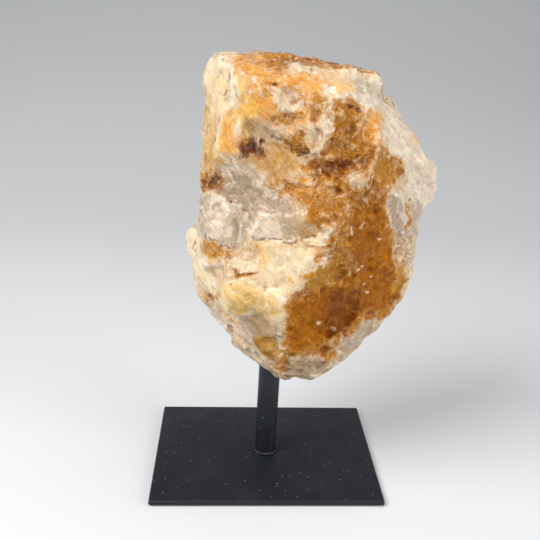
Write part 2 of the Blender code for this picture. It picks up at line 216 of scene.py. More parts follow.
AREAS["ochre"] = dict(
    waist=(0.9, 2.5, 18, 150, 41, 154, 43, 134, 36, 137, 29, 140, 21, 141),
    recess_low=(0.5, 3, -4, 162, 5, 165, 13, 164, 20, 165, 22, 155, 14, 152, 7, 154),
    crown=(0.7, 3, -10, 227, 3, 230, 14, 228, 24, 225, 31, 223, 47, 222, 50, 219, 31, 219, 21, 220, 11, 224,
        1, 221, -8, 223),
    brow_spots=(0.3, 4, -7, 212, 7, 211, 18, 208, 12, 200, 0, 203, -9, 207),
    brow_band=(0.9, 2, -2, 196, 5, 199, 14, 199, 16, 196, 10, 193, 2, 193),
    brow_brown=(1, 2.5, 18, 205, 25, 205, 28, 200, 23, 198, 18, 200),
    under_brow=(1, 1.2, 4, 187, 10, 189, 15, 186, 18, 180, 11, 178, 6, 183),
    right_shoulder=(0.85, 3, 29, 206, 37, 207, 43, 203, 45, 197, 46, 185, 54, 183, 59, 180, 53, 176, 51, 167,
        54, 155, 42, 152, 23, 142, 17, 149, 15, 156, 22, 159, 23, 167, 15, 169, 12, 174, 22, 176, 26, 180,
        30, 192),
    right_patch=(1, 1.6, 50, 182, 57, 182, 60, 178, 63, 176, 66, 174, 68, 170, 67, 167, 64, 164, 62, 161,
        61, 157, 60, 151, 53, 149, 50, 160),
    right_chips=(0.5, 3, 65, 135, 75, 135, 75, 119, 68, 119),
    flank_seam=(0.8, 0.8, 72, 155, 74, 153, 73, 145, 71, 137, 70, 137, 71, 146),
    bulge_fleck=(0.5, 1.5, 9, 110, 12, 111, 13, 107, 11, 105),
    brow_curl=(0.6, 2, -7, 213, -2, 215, 2, 212, -3, 209, -7, 210),
    low_scallop=(0.7, 2, 35, 68, 41, 69, 40, 63, 32, 60, 29, 64),
    face=(1, 1.8, 39, 154, 60, 154, 60, 143, 65, 137, 65, 132, 68, 125, 68, 118, 68, 110, 68, 103, 74, 101,
        72, 92, 61, 87, 52, 86, 47, 79, 41, 76, 41, 68, 33, 64, 21, 61, 12, 62, 9, 70, 9, 79, 9, 95, 12, 101,
        19, 106, 19, 114, 28, 116, 33, 122, 29, 128, 32, 134, 40, 138),
    pocket=(0.5, 2, *POCKET),
    lump_shadow=(0.9, 1.5, -20, 114, -15, 113, -7, 113, -11, 110, -17, 110),
    tongue=(0.6, 2, 3, 63, 10, 65, 12, 54, 10, 50, 5, 55),
    left_dark=(0.9, 3, -38, 165, -32, 169, -26, 167, -27, 159, -36, 157),
    maroon_halo=(0.8, 3, -18, 183, -13, 186, -7, 182, -9, 176, -14, 175, -18, 178),
    small_blot=(0.8, 2, 10, 101, 14, 102, 15, 96, 10, 94),
    blister_rim=(0.25, 2.5, -14, 103, -6, 101, -6, 95, -11, 89, -21, 90, -16, 96),
    left_spot=(0.7, 2, -36, 101, -31, 100, -30, 93, -34, 96),
    wedge_swirl=(0.6, 2, 22, 123, 30, 123, 29, 117, 24, 116),
    right_low=(0.5, 3, 67, 119, 74, 119, 74, 107, 71, 98, 67, 98),
)
AREAS["amber"] = dict(
    face=(0.9, 5, 42, 151, 59, 151, 59, 142, 64, 136, 64, 131, 67, 124, 68, 109, 66, 97, 57, 91, 46, 85,
        40, 77, 30, 71, 16, 67, 11, 73, 11, 95, 22, 100, 38, 106, 47, 115, 42, 127, 42, 138),
    deep=(1, 4, 54, 134, 64, 133, 67, 120, 67, 103, 58, 103, 54, 120),
    shoulder=(0.15, 4, 30, 204, 46, 202, 48, 186, 36, 183, 30, 191),
    under_ledge=(0.4, 4, 15, 175, 36, 177, 41, 169, 35, 160, 22, 158, 14, 164),
    patch=(0.3, 4, 53, 178, 63, 173, 65, 168, 59, 155, 53, 160),
)
AREAS["brown"] = dict(
    low_top=(0.35, 4, 35, 127, 49, 133, 52, 120, 44, 110, 35, 105, 30, 111),
    low_dark=(0.75, 4, 31, 94, 36, 104, 43, 106, 51, 105, 55, 99, 51, 93, 46, 87, 44, 76, 37, 74, 32, 81),
    low_face_top=(0.15, 3, 14, 96, 19, 101, 28, 100, 31, 94, 23, 94),
    ledge=(0.75, 3, 36, 177, 42, 179, 50, 177, 50, 174, 39, 173, 29, 166, 19, 163, 20, 170, 29, 174),
    moss=(0.12, 3, 34, 200, 46, 201, 48, 188, 38, 187, 32, 193),
    seam=(0.5, 3, 50, 139, 54, 137, 52, 120, 48, 111, 45, 112, 49, 127),
    left_stain=(1, 3, -37, 160, -34, 165, -29, 168, -26, 165, -28, 159, -34, 158),
    crown=(0.35, 2.5, -8, 227, 3, 229, 14, 228, 24, 224, 31, 222, 47, 221, 48, 220, 31, 219, 21, 221, 13, 223,
        6, 225, -1, 222),
    maroon_halo=(0.85, 3.5, -19, 182, -16, 185, -10, 187, -6, 183, -8, 176, -13, 175, -18, 176),
    lip_shadow=(0.4, 1.5, -31, 129, -26, 128, -19, 126, -22, 123, -28, 124),
)
AREAS["maroon"] = dict(
    hollow=(1, 2.5, -18, 182, -15, 184, -10, 185, -7, 182, -8, 177, -12, 176, -17, 176),
    left_stain=(0.75, 2.5, -36, 163, -31, 167, -28, 165, -29, 161, -34, 160),
    right_chips=(0.35, 4, 59, 157, 68, 157, 71, 136, 78, 135, 75, 117, 66, 117),
    low_dark=(0.2, 4, 31, 98, 42, 100, 45, 86, 40, 77, 33, 82),
)
AREAS["olive"] = dict(
    recess=(0.6, 4, -12, 181, 4, 185, 9, 178, 14, 171, 6, 164, -4, 163, -14, 174),
    left_waist=(0.6, 4, *LEFT_WAIST),
    pocket=(0.5, 2, *POCKET),
    low_left=(0.7, 4, 9, 94, 17, 100, 23, 99, 25, 85, 29, 71, 22, 64, 12, 66),
    right_edge=(0.6, 3, 59, 143, 65, 135, 66, 120, 60, 120, 56, 133),
    patch=(0.5, 3, 56, 178, 63, 174, 66, 169, 61, 162, 55, 167),
    amber_left=(1, 3.5, 19, 113, 28, 116, 33, 121, 40, 125, 45, 120, 41, 111, 31, 104, 24, 100, 19, 105),
    pane_low=(0.8, 3, -10, 74, -3, 77, 9, 70, 10, 59, 3, 60, -6, 65),
    right_low=(0.8, 2, 68, 118, 73, 118, 74, 105, 72, 100, 67, 96, 67, 104),
    pane_top=(0.4, 3, *PANE_TOP),
    slab_right=(0.5, 4, 13, 142, 24, 142, 24, 133, 14, 131),
    brow=(0.9, 3, 18, 210, 23, 209, 23, 203, 19, 202),
)
# White crumbs, rims and chalky patches. The corner, cheek, slab edge and flank streak areas are painted
# highlights on the lit top-left rim, the cheek facet and bright edges; the sparkle areas paint glints.
AREAS["white"] = dict(
    cheek=(0.75, 1.5, -24, 218, -20, 217, -18, 212, -19, 207, -22, 201, -24, 199, -24, 207),
    corner=(0.55, 3, -37, 224, -27, 227, -22, 225, -27, 222, -32, 218, -35, 208, -37, 216),
    crown_patch=(0.95, 1.2, 4, 225, 7, 225, 12, 223, 22, 222, 23, 219, 17, 218, 11, 219, 6, 221),
    brow_crumb=(0.85, 3, -5, 209, 2, 210, 7, 208, 13, 205, 14, 200, 8, 198, 1, 200, -3, 205),
    brow_crumb_right=(0.3, 3, 12, 203, 20, 209, 22, 202, 18, 198, 12, 199),
    brow_low=(0.55, 3, 14, 192, 23, 199, 30, 195, 28, 187, 23, 180, 18, 185),
    crown_blob=(1, 1, 24, 212, 27, 214, 30, 212, 30, 210, 27, 208, 24, 209),
    crown_blob_small=(1, 1, 30, 207, 32, 210, 35, 208, 34, 205, 32, 205),
    brow_tip=(1, 1, 19, 179, 21, 181, 23, 180, 24, 177, 21, 176),
    lump=(1, 2, 39, 168, 44, 170, 50, 167, 51, 162, 46, 161, 40, 164),
    under_knob=(0.9, 1.5, -26, 178, -23, 178, -19, 175, -18, 173, -23, 173, -26, 176),
    shoulder_streak=(0.9, 1.2, 42, 212, 44, 212, 46, 207, 50, 204, 50, 202, 45, 205, 43, 208),
    pane_crumb=(0.8, 1.5, 3, 79, 7, 78, 8, 73, 5, 75),
    rim_left=(0.6, 2.5, -26, 84, -16, 82, -10, 71, -3, 62, -5, 58, -15, 69, -26, 79),
    rim_low=(0.7, 2, -3, 62, 4, 61, 5, 57, -1, 58),
    rim_mid=(0.8, 1.5, 11, 65, 16, 62, 22, 61, 18, 59, 12, 61),
    slab_edge_highlight=(0.8, 1.5, -12, 136, -9, 142, -5, 145, -4, 144, -8, 139, -10, 134),
    sparkle_field=(0.22, 3, 21, 157, 40, 159, 42, 142, 30, 139, 21, 146),
    sparkle_upper=(0.3, 3, 38, 177, 52, 176, 52, 167, 40, 167),
    wedge_rim=(0.8, 1.5, 23, 136, 31, 138, 36, 137, 30, 135, 28, 129, 25, 129),
    wedge_edge=(0.8, 1, 32, 123, 34, 122, 28, 116, 23, 114, 23, 116, 28, 119),
    nose_rim=(0.6, 2, 72, 158, 81, 161, 81, 155, 74, 155),
    flank_highlight_streaks=(0.5, 3, 54, 204, 61, 198, 68, 189, 71, 176, 66, 174, 60, 183, 55, 192),
    patch_border=(0.6, 1.5, 53, 188, 57, 183, 62, 178, 65, 176, 69, 171, 66, 176, 61, 181, 56, 187),
    chip_rims=(0.5, 1.5, 65, 135, 75, 135, 77, 121, 68, 119),
    slope_top=(0.6, 3, -33, 171, -24, 173, -16, 171, -9, 167, -2, 161, 7, 154, -1, 153, -11, 161, -19, 165,
        -31, 165),
    slope_edge=(0.5, 2, -3, 162, 6, 156, 12, 152, 15, 146, 9, 148, 2, 156),
)

# Small maroon specks, and white flecks that are painted glints: how far across and how high, half as wide and
# as tall, and turn in degrees
SPOTS = {
    "maroon": ((-1, 212.5, 1.5, 0.8, -15), (-27, 224, 0.8, 0.5, 0), (-18, 223.5, 0.9, 0.5, 0),
        (-20, 207, 0.5, 0.5, 0), (-21.5, 152, 0.8, 0.8, 0), (-33, 98.5, 0.8, 0.7, 0),
        (67.5, 110.5, 1.2, 0.7, 0), (38.5, 202.5, 1.8, 0.8, 20), (42.5, 201, 1.8, 0.7, 30)),
    "white": ((47.5, 140.5, 0.7, 2.5, 15), (42.5, 137.5, 0.7, 3.0, -8), (57, 133.5, 0.9, 0.7, 0),
        (49, 118, 0.9, 0.9, 0), (47, 116, 0.7, 0.9, 30), (56, 111, 0.9, 0.8, 0), (53.5, 102.5, 0.9, 0.9, 0),
        (51.5, 107, 1.0, 0.5, 0), (49, 154, 0.6, 1.7, -40), (40, 150.5, 0.6, 1.6, 0), (40, 146, 0.6, 0.8, 0),
        (28.5, 83, 1.3, 1.1, 0), (36.5, 80, 1.3, 1.2, 0), (40.5, 66, 1.5, 0.9, 0), (21.5, 65.5, 0.9, 0.5, 40),
        (10, 211.5, 1.3, 0.8, 20), (15.5, 215.5, 0.8, 0.6, 0), (-15, 155.5, 1.0, 0.6, 0),
        (-19, 153, 0.7, 0.6, 0), (-16.5, 139, 0.6, 0.6, 0), (-19.5, 101.5, 1.0, 0.9, 0),
        (-6, 154.5, 0.8, 0.5, -25), (66.5, 163, 0.8, 0.7, 0), (70.5, 152, 1.1, 0.8, -45),
        (66.5, 128.5, 1.1, 0.9, 0), (75, 129.5, 1.0, 1.5, 30)),
}

# Cracks: half their width, then the places they run through
LINES = dict(
    slope_ridge=(0.25, -29, 157, -25.5, 154, -21.5, 151.5, -18, 149, -11.5, 147.5),
    brow_crack=(0.7, -2.5, 184, 0.5, 185.5, 3, 187),
    brow_edge=(0.6, 4, 185.5, 7, 181.5, 9, 178.5, 11, 177.5, 17.5, 179),
    cheek_crack=(0.45, -24, 217.5, -24, 214),
    cheek_crack_b=(0.4, -26, 210, -26.5, 204.5),
    left_crack=(0.5, -31, 198, -30.5, 193, -31, 188, -33, 181, -34.5, 173.5),
    left_edge=(1.0, -36.5, 201, -36, 195, -35.5, 187, -35.5, 179),
    valley=(0.55, -8, 132, 0.5, 131.5, 13, 131.5, 19.5, 132.5, 22.5, 134),
    lip=(0.5, -35, 132.5, -31.5, 130.5, -27.5, 127.5, -22, 126, -18.5, 125.5),
    far_left=(0.6, -38.5, 154.5, -38.5, 145, -39, 135, -40, 127.5, -42, 118.5),
    lump_line=(0.5, -20, 114.5, -14.5, 112.5, -7, 112.5),
    lump_crack=(0.35, -22, 105, -19.5, 107),
    flank_line=(0.45, 72.5, 154, 71.5, 146.5, 71, 137),
    crown_side=(0.6, 54.5, 210.5, 57, 207.5, 59, 205, 59.5, 202),
    face_seam=(0.5, 56.5, 151.5, 55, 150.5, 54, 148),
)

# Stains on the sides and the back: x, y, z, radius, share of cover
ROUND_THE_BACK = dict(
    frost=dict(flank=(80, 8, 160, 24, 0.9), back=(24, 44, 178, 26, 0.8), left=(-42, 8, 120, 18, 0.7),
        crown=(50, 10, 214, 20, 0.5)),
    grey=dict(crown=(20, 20, 218, 26, 0.2), back_high=(-20, 34, 185, 26, 0.9),
        back_low=(30, 40, 105, 26, 0.8), flank=(74, 10, 140, 16, 0.5), left=(-40, 6, 168, 14, 0.5)),
    cream=dict(flank=(60, 0, 185, 24, 0.7), back_left=(-36, 22, 128, 20, 0.6), back=(10, 46, 160, 24, 0.6),
        left_top=(-32, 0, 210, 18, 0.5)),
    yellow=dict(left_top=(-34, 4, 196, 26, 0.6), back_top=(20, 30, 205, 24, 0.5),
        left_low=(-38, 12, 108, 20, 0.5), right_low=(66, 14, 108, 22, 0.5)),
    peach=dict(back_top=(0, 26, 212, 24, 0.6), left_back=(-36, 20, 150, 22, 0.45),
        back_right=(52, 34, 160, 26, 0.55)),
    ochre=dict(back_right=(48, 36, 135, 30, 0.7), back_low_left=(-20, 30, 95, 26, 0.6),
        crown=(25, 0, 224, 40, 0.75), left_edge=(-36, 16, 182, 14, 0.6), under=(20, 10, 60, 22, 0.5)),
    amber=dict(back_right=(46, 38, 128, 20, 0.7), back=(-6, 44, 110, 16, 0.5)),
    brown=dict(crown=(22, 4, 225, 34, 0.7), back_seam=(30, 44, 140, 14, 0.5),
        back_low_left=(-22, 32, 88, 12, 0.5)),
    maroon=dict(crown=(12, 8, 226, 14, 0.4)),
    olive=dict(right_low=(62, -4, 98, 18, 0.6), back_low=(4, 40, 88, 16, 0.5)),
    white=dict(back_left=(-38, 14, 120, 20, 0.35), flank=(66, -6, 172, 26, 0.35),
        back=(24, 44, 176, 22, 0.3)),
    crack=dict(),
)
STAINS = tuple(ROUND_THE_BACK)
BACK_WANDER = 0.55

# How the stains' edges run: how many times softer than drawn, how far they sway, and how far each chip
# (size, slip, seed) shifts them, in millimetres
EDGE_FADES = dict(grey=1.6, cream=2.2, yellow=2.2, peach=2.2, ochre=1.8, amber=1.6, brown=1.8)
EDGE_FADE = 1.5
LINE_FADE = 0.6
EDGE_SWAY = 1.3
EDGE_CHIPS = ((5.0, 1.2, 61), (2.5, 0.7, 67))


# -------- modelling helpers


def alone(made):
    """Selects one object only, and makes it the active one."""
    bpy.ops.object.select_all(action="DESELECT")
    made.select_set(True)
    bpy.context.view_layer.objects.active = made


def apply_modifier(made, kind, **settings):
    alone(made)
    modifier = made.modifiers.new(kind.lower(), kind)
    for name, value in settings.items():
        setattr(modifier, name, value)
    bpy.ops.object.modifier_apply(modifier=modifier.name)


def apply_place(made):
    alone(made)
    bpy.ops.object.transform_apply(location=True, rotation=True, scale=True)


def smooth_by_angle(made, angle):
    alone(made)
    bpy.ops.object.shade_smooth_by_angle(angle=angle)


# -------- fields over the stone's skin


def scatter(cells, seed):
    """Three repeatable numbers from 0 to 1 for each whole-numbered cell."""
    state = (cells[:, 0] * 73856093) ^ (cells[:, 1] * 19349663) ^ (cells[:, 2] * 83492791)
    state = state ^ (seed * 2654435761)
    numbers = []
    for _ in range(3):
        state = (state ^ (state >> 15)) * 2246822519 % 4294967296
        state = (state ^ (state >> 13)) * 3266489917 % 4294967296
        numbers.append((state % 65536) / 65536.0)
    return np.stack(numbers, axis=1)


def chips(points, size, seed):
    """A break into scoops of about this size: its height, and three numbers of each scoop."""
    home = np.floor(points / size).astype(np.int64)
    height = np.full(len(points), np.inf)
    number = np.zeros((len(points), 3))
    for step in np.ndindex(3, 3, 3):
        cells = home + np.array(step) - 1
        away = points / size - cells - scatter(cells, seed)
        tilt = scatter(cells, seed + 1) * 2.0 - 1.0
        scoop = SCOOP * (away ** 2).sum(axis=1) + (away * tilt).sum(axis=1)
        lower = scoop < height
        height = np.where(lower, scoop, height)
        number = np.where(lower[:, None], tilt, number)
    return height - SCOOP_MEAN, number


def drift(points, size, seed):
    """A smooth random field from -1 to 1 whose swells are about this size."""
    place = points / size
    home = np.floor(place).astype(np.int64)
    along = place - home
    along = along * along * (3.0 - 2.0 * along)
    total = np.zeros(len(points))
    for corner in np.ndindex(2, 2, 2):
        weight = np.prod(np.where(np.array(corner) == 1, along, 1.0 - along), axis=1)
        total += weight * scatter(home + np.array(corner), seed)[:, 0]
    return total * 2.0 - 1.0


def rise(value, low, high):
    """0 below low, 1 above high, and a smooth step between them."""
    part = np.clip((value - low) / (high - low), 0.0, 1.0)
    return part * part * (3.0 - 2.0 * part)


def seen_from_eye(points):
    """Where the line from the eye to each point crosses the upright plane through the post."""
    eye = np.array(EYE) / MM
    reach = -eye[1] / (points[:, 1] - eye[1])
    across = eye[0] + (points[:, 0] - eye[0]) * reach
    height = eye[2] + (points[:, 2] - eye[2]) * reach
    return np.stack([across, height], axis=1)


def distance_to_line(places, start, end):
    start = np.array(start, float)
    run = np.array(end, float) - start
    share = np.clip(((places - start) @ run) / (run @ run), 0.0, 1.0)
    return np.linalg.norm(places - start - share[:, None] * run, axis=1)


def pairs(numbers):
    return list(zip(numbers[::2], numbers[1::2]))


def depth_inside(places, outline):
    """How deep each place is inside the outline, less than 0 outside it."""
    distance = np.full(len(places), np.inf)
    inside = np.zeros(len(places), bool)
    for start, end in zip(outline, outline[1:] + outline[:1]):
        distance = np.minimum(distance, distance_to_line(places, start, end))
        crosses = (start[1] > places[:, 1]) != (end[1] > places[:, 1])
        if start[1] != end[1]:
            at = start[0] + (places[:, 1] - start[1]) * (end[0] - start[0]) / (end[1] - start[1])
            inside ^= crosses & (places[:, 0] < at)
    return np.where(inside, distance, -distance)


def front_cover(places, stain):
    """How much this stain's areas cover at each place of the front, from 0 to 1."""
    cover = np.zeros(len(places))
    for share, edge, *outline in AREAS[stain].values():
        fade = edge * EDGE_FADES.get(stain, EDGE_FADE) / 2
        cover = np.maximum(cover, share * rise(depth_inside(places, pairs(outline)), -fade, fade))
    return cover


def crack_cover(places):
    cover = np.zeros(len(places))
    for width, *line in LINES.values():
        for start, end in zip(pairs(line), pairs(line)[1:]):
            distance = distance_to_line(places, start, end)
            cover = np.maximum(cover, rise(width - distance, -LINE_FADE, LINE_FADE))
    return cover


def spot_cover(places, stain):
    """How much this stain's ovals cover at each place of the front."""
    cover = np.zeros(len(places))
    for across, height, wide, tall, turn in SPOTS.get(stain, ()):
        turn = math.radians(turn)
        away = places - np.array([across, height])
        along = (away[:, 0] * math.cos(turn) - away[:, 1] * math.sin(turn)) / wide
        over = (away[:, 0] * math.sin(turn) + away[:, 1] * math.cos(turn)) / tall
        cover = np.maximum(cover, rise(1.5 - np.hypot(along, over), 0.0, 1.0))
    return cover


def back_cover(points, stain, seed):
    """How much this stain covers where the eye doesn't see, from its round areas and a slow drift."""
    cover = np.zeros(len(points))
    for x, y, z, radius, share in ROUND_THE_BACK[stain].values():
        away = np.linalg.norm(points - np.array([x, y, z]), axis=1) / radius
        cover = np.maximum(cover, share * rise(1.3 - away, 0.0, 0.8))
    wander = drift(points, 17.0, seed) + 0.5 * drift(points, 8.0, seed + 1)
    return np.clip(cover + BACK_WANDER * wander * np.sqrt(cover + 0.02), 0.0, 1.0)


def stain_covers(points, normals):
    """The cover of every stain at each point: the drawn marks in front, the round areas behind."""
    to_eye = np.array(EYE) / MM - points
    to_eye /= np.linalg.norm(to_eye, axis=1)[:, None]
    turned = (to_eye * normals).sum(axis=1)
    facing = rise(turned, 0.0, 0.2)
    square_on = rise(turned, 0.15, 0.4)
    places = seen_from_eye(points)
    sway = [drift(points, 5.0, seed) + 0.6 * drift(points, 2.2, seed + 1) for seed in (201, 211)]
    ragged_places = places + EDGE_SWAY * np.stack(sway, axis=1)
    for size, slip, seed in EDGE_CHIPS:
        ragged_places = ragged_places + slip * chips(points, size, seed)[1][:, :2]
    covers = {}
    for number, stain in enumerate(STAINS):
        behind = back_cover(points, stain, 101 + 7 * number)
        if stain == "crack":
            covers[stain] = square_on * crack_cover(ragged_places) + (1.0 - facing) * behind
        else:
            before = np.maximum(front_cover(ragged_places, stain), spot_cover(places, stain))
            covers[stain] = facing * before + (1.0 - facing) * behind
    return covers


# -------- shader expressions


def tone(red, green, blue):
    """A colour given as 0 to 255 on a screen, as the linear colour that shaders use."""
    linear = []
    for value in (red, green, blue):
        value = value / 255.0
        linear.append(value / 12.92 if value <= 0.04045 else ((value + 0.055) / 1.055) ** 2.4)
    return (*linear, 1.0)


class Wire:
    """A socket that takes part in Python sums: each operator adds its node to the material."""

    def __init__(self, finish, socket):
        self.finish = finish
        self.socket = socket

    def maths(self, operation, *terms):
        return self.finish.node("ShaderNodeMath", {"operation": operation}, dict(enumerate(terms)))

    def vector_maths(self, operation, *terms, output=0):
        settings = {"operation": operation}
        return self.finish.node("ShaderNodeVectorMath", settings, dict(enumerate(terms)), output)

    def __add__(self, other):
        return self.maths("ADD", self, other)

    def __sub__(self, other):
        return self.maths("SUBTRACT", self, other)

    def __rsub__(self, other):
        return self.maths("SUBTRACT", other, self)

    def __mul__(self, other):
        return self.maths("MULTIPLY", self, other)

    __radd__ = __add__
    __rmul__ = __mul__

    def step(self, low, high):
        """The same as rise, for a shader."""
        settings = {"interpolation_type": "SMOOTHSTEP"}
        return self.finish.node("ShaderNodeMapRange", settings,
                                {"Value": self, "From Min": low, "From Max": high})

    def limited(self, low, high):
        raised = self.maths("MAXIMUM", self, low)
        return raised.maths("MINIMUM", raised, high)

    def dot(self, other):
        return self.vector_maths("DOT_PRODUCT", self, other, output="Value")

    def less(self, other):
        return self.vector_maths("SUBTRACT", self, other)


class Finish:
    """A material whose nodes are added by expressions and end in one shader."""

    def __init__(self, name):
        self.material = bpy.data.materials.new(name)
        self.material.use_nodes = True
        self.tree = self.material.node_tree
        self.shader = self.tree.nodes["Principled BSDF"]
        self.place = self.node("ShaderNodeTexCoord", {}, {}, "Object")

    def node(self, kind, settings, values, output=0):
        """Adds a node, sets it, then gives its sockets their values or links."""
        added = self.tree.nodes.new(kind)
        for name, value in settings.items():
            setattr(added, name, value)
        for name, value in values.items():
            self.feed(added.inputs[name], value)
        return Wire(self, added.outputs[output])

    def feed(self, socket, value):
        if isinstance(value, Wire):
            self.tree.links.new(value.socket, socket)
        else:
            socket.default_value = value

    def set_shader(self, **values):
        for name, value in values.items():
            self.feed(self.shader.inputs[name.replace("_", " ")], value)

    def attribute(self, name):
        return self.node("ShaderNodeAttribute", {"attribute_name": name}, {}, "Fac")

    def noise(self, size, detail=3.0, seed=0.0, roughness=0.6, place=None, output="Fac"):
        """Noise whose swells are about this size in millimetres."""
        return self.node("ShaderNodeTexNoise", {"noise_dimensions": "4D"},
                         {"Vector": place or self.place, "W": seed, "Scale": 1.0 / (size * MM),
                          "Detail": detail, "Roughness": roughness}, output)

    def drawn_out(self, *shares):
        """Places for noise whose swells are drawn out along the axes with a small share."""
        return self.place.vector_maths("MULTIPLY", self.place, shares)

    def thread(self, size, width, seed):
        """1 along thin winding threads, that lie where noise of this size passes its middle."""
        swell = self.noise(size, 3.0, seed, roughness=0.6) - 0.5
        return (width - swell.maths("ABSOLUTE", swell)).step(0.0, width)

    def grains(self, size, output, place=None):
        return self.node("ShaderNodeTexVoronoi", {},
                         {"Vector": place or self.place, "Scale": 1.0 / (size * MM)}, output)

    def slanted(self):
        """Places turned and drawn out along the cleavage, which falls from upper left to lower right."""
        turned = self.node("ShaderNodeVectorRotate", {"rotation_type": "Y_AXIS"},
                           {"Vector": self.place, "Angle": -CLEAVAGE_TURN})
        return turned.vector_maths("MULTIPLY", turned, CLEAVAGE_SHARES)

    def chips(self, size, place):
        """Height in cell sizes of a break into flat chips of this size, each with a tilt of its own."""
        away = place.less(self.grains(size, "Position", place))
        tilt = self.grains(size, "Color", place).less((0.5, 0.5, 0.5))
        return away.dot(tilt) * (1.0 / (size * MM))

    def blend(self, mask, under, over):
        """Under where the mask is 0, over where it is 1, for colours."""
        return self.node("ShaderNodeMix", {"data_type": "RGBA"}, {0: mask, 6: under, 7: over}, 2)

    def tint(self, mask, under, over):
        """Under multiplied by over where the mask is 1."""
        return self.node("ShaderNodeMix", {"data_type": "RGBA", "blend_type": "MULTIPLY"},
                         {0: mask, 6: under, 7: over}, 2)

    def bump(self, height, distance, strength=1.0):
        return self.node("ShaderNodeBump", {}, {"Height": height, "Distance": distance,
                                                "Strength": strength}, "Normal")


# -------- the stone

# Each stain's lightest and deepest tone, how coarse its edge is in millimetres, how far that edge breaks up,
# and how wide a step of cover it takes
TONES = {
    "frost": (tone(244, 233, 216), tone(214, 198, 180), 4.0, 0.6, 0.4),
    "grey": (tone(208, 190, 168), tone(170, 152, 130), 4.0, 0.6, 0.4),
    "cream": (tone(252, 240, 208), tone(244, 216, 170), 3.6, 0.7, 0.4),
    "yellow": (tone(255, 220, 120), tone(246, 184, 64), 3.6, 0.7, 0.4),
    "peach": (tone(255, 200, 104), tone(236, 162, 58), 3.6, 0.9, 0.4),
    "ochre": (tone(242, 180, 58), tone(190, 124, 10), 1.5, 1.2, 0.3),
    "olive": (tone(216, 162, 10), tone(176, 120, 0), 3.0, 0.7, 0.4),
    "amber": (tone(208, 136, 2), tone(146, 78, 0), 2.4, 1.1, 0.25),
    "brown": (tone(162, 88, 16), tone(108, 52, 6), 1.8, 1.5, 0.3),
    "maroon": (tone(150, 82, 44), tone(100, 48, 28), 1.0, 1.2, 0.4),
    "white": (tone(255, 250, 238), tone(255, 234, 204), 1.0, 1.2, 0.3),
    "crack": (tone(132, 82, 36), tone(84, 48, 20), 1.2, 0.4, 0.4),
}
STRENGTHS = dict(crack=0.7, olive=0.95, grey=0.95, yellow=0.9, brown=0.85)
MILK = (tone(246, 226, 196), tone(230, 200, 158))
SPREAD = 1.9
HONEY = (tone(242, 184, 70), tone(220, 146, 38))
CELL_LIGHT = tone(255, 252, 246)
CELL_DARK = tone(204, 178, 148)
SUGAR = tone(228, 200, 156)
# Near-white and gold of the painted glints and highlights; the thin white veins take the same colours
GLINT_AND_VEIN_WHITE = tone(255, 250, 240)
GLINT_AND_VEIN_GOLD = tone(255, 204, 112)
RUST = tone(158, 98, 50)
THREAD = tone(196, 132, 66)
GROOVE = tone(214, 164, 108)
# How the random colour of a cell adds up to one number
CELL_WEIGHTS = (0.4, 0.35, 0.25)


def stone_skin():
    """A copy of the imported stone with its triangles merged, refined to even faces and softened."""
    skin = bpy.data.objects.new("golden_quartz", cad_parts["quartz"].data.copy())
    bpy.context.scene.collection.objects.link(skin)
    skin.data.materials.clear()
    alone(skin)
    bpy.ops.object.mode_set(mode="EDIT")
    bpy.ops.mesh.select_all(action="SELECT")
    bpy.ops.mesh.remove_doubles(threshold=MM * 0.001)
    bpy.ops.object.mode_set(mode="OBJECT")
    apply_modifier(skin, "REMESH", mode="VOXEL", voxel_size=SKIN_STEP * MM)
    apply_modifier(skin, "SMOOTH", factor=SOFTENING, iterations=SOFTENING_ROUNDS)
    return skin


def skin_arrays(skin):
    count = len(skin.data.vertices)
    points = np.empty(count * 3)
    normals = np.empty(count * 3)
    skin.data.vertices.foreach_get("co", points)
    skin.data.vertices.foreach_get("normal", normals)
    return points.reshape(-1, 3) / MM, normals.reshape(-1, 3)


def pull_skin(skin):
    """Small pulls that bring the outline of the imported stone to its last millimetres."""
    points, _ = skin_arrays(skin)
    moved = points.copy()
    for x, y, z, radius, *move in PULLS.values():
        away = np.linalg.norm(points - np.array([x, y, z]), axis=1) / radius
        moved += rise(1.0 - away, 0.0, 0.8)[:, None] * np.array(move)
    skin.data.vertices.foreach_set("co", (moved * MM).ravel())
    skin.data.update()


def even_out(skin):
    """Smooths the clean breaks of the stone, so that they lie as flats between the crumbly places."""
    covers = stain_covers(*skin_arrays(skin))
    even = sum(share * covers[stain] for stain, share in CLEAN_BREAKS.items())
    levels = np.round(np.clip(even, 0.0, 1.0) * EVEN_LEVELS).astype(int)
    group = skin.vertex_groups.new(name="even")
    for level in range(1, EVEN_LEVELS + 1):
        group.add(np.flatnonzero(levels == level).tolist(), level / EVEN_LEVELS, "REPLACE")
    apply_modifier(skin, "SMOOTH", factor=SOFTENING, iterations=EVEN_ROUNDS, vertex_group="even")
    skin.vertex_groups.clear()


